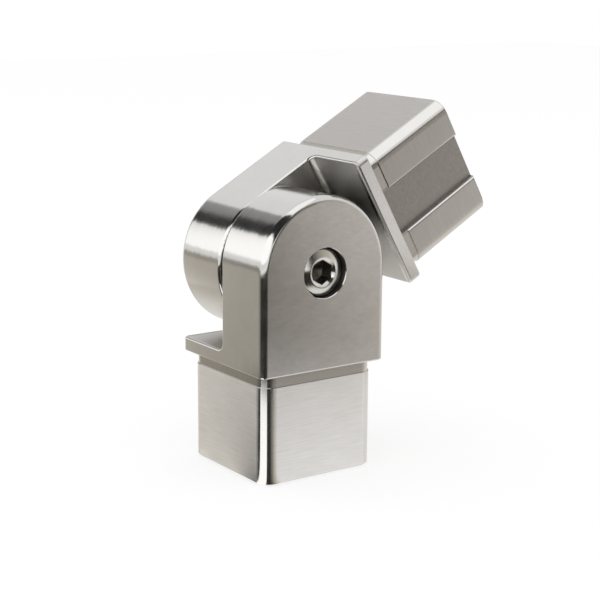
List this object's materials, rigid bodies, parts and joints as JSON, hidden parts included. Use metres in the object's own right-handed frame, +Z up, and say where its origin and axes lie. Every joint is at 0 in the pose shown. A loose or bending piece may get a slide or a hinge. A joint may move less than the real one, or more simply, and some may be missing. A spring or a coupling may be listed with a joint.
{
  "type": "profile pivot joint",
  "caption": "Adjustable corner joint for square handrail tube: plug-ended cast halves clamped ear to ear by a socket screw, set to any angle up to a right angle either way.",
  "frame": {"origin": "centre of the lower plug's end", "axes": "+Z up the lower tube's axis towards the pivot, +Y along the pivot away from the screw's head, +X the way the upper half leans"},
  "size_m": [0.0784, 0.04, 0.0996],
  "materials": {
    "casting": "satin-brushed cast stainless steel",
    "screw_steel": "bright turned stainless steel",
    "spring_steel": "plain stainless spring steel"
  },
  "bodies": {
    "lower": {"lower_half": "casting"},
    "upper": {"upper_half": "casting"},
    "washer": {"lock_washer": "spring_steel"},
    "screw": {"pivot_screw": "screw_steel"}
  },
  "joints": [
    {"name": "bend", "type": "hinge", "parent": "lower", "child": "upper", "pos_m": [0, 0, 0.0564], "axis": [0, 1, 0], "range_deg": [-150.7, 29.3]},
    {"name": "screw_travel", "type": "slide", "parent": "upper", "child": "washer", "axis": [0, -1, 0], "range_m": [0, 0.00125]},
    {"name": "screw_turn", "type": "hinge", "parent": "washer", "child": "screw", "pos_m": [0, 0, 0.0564], "axis": [0, -1, 0], "range_deg": [0, 450]}
  ],
  "couplings": [
    {"joint": "screw_turn", "follows": "screw_travel", "rad_per_m": 5026.5}
  ]
}
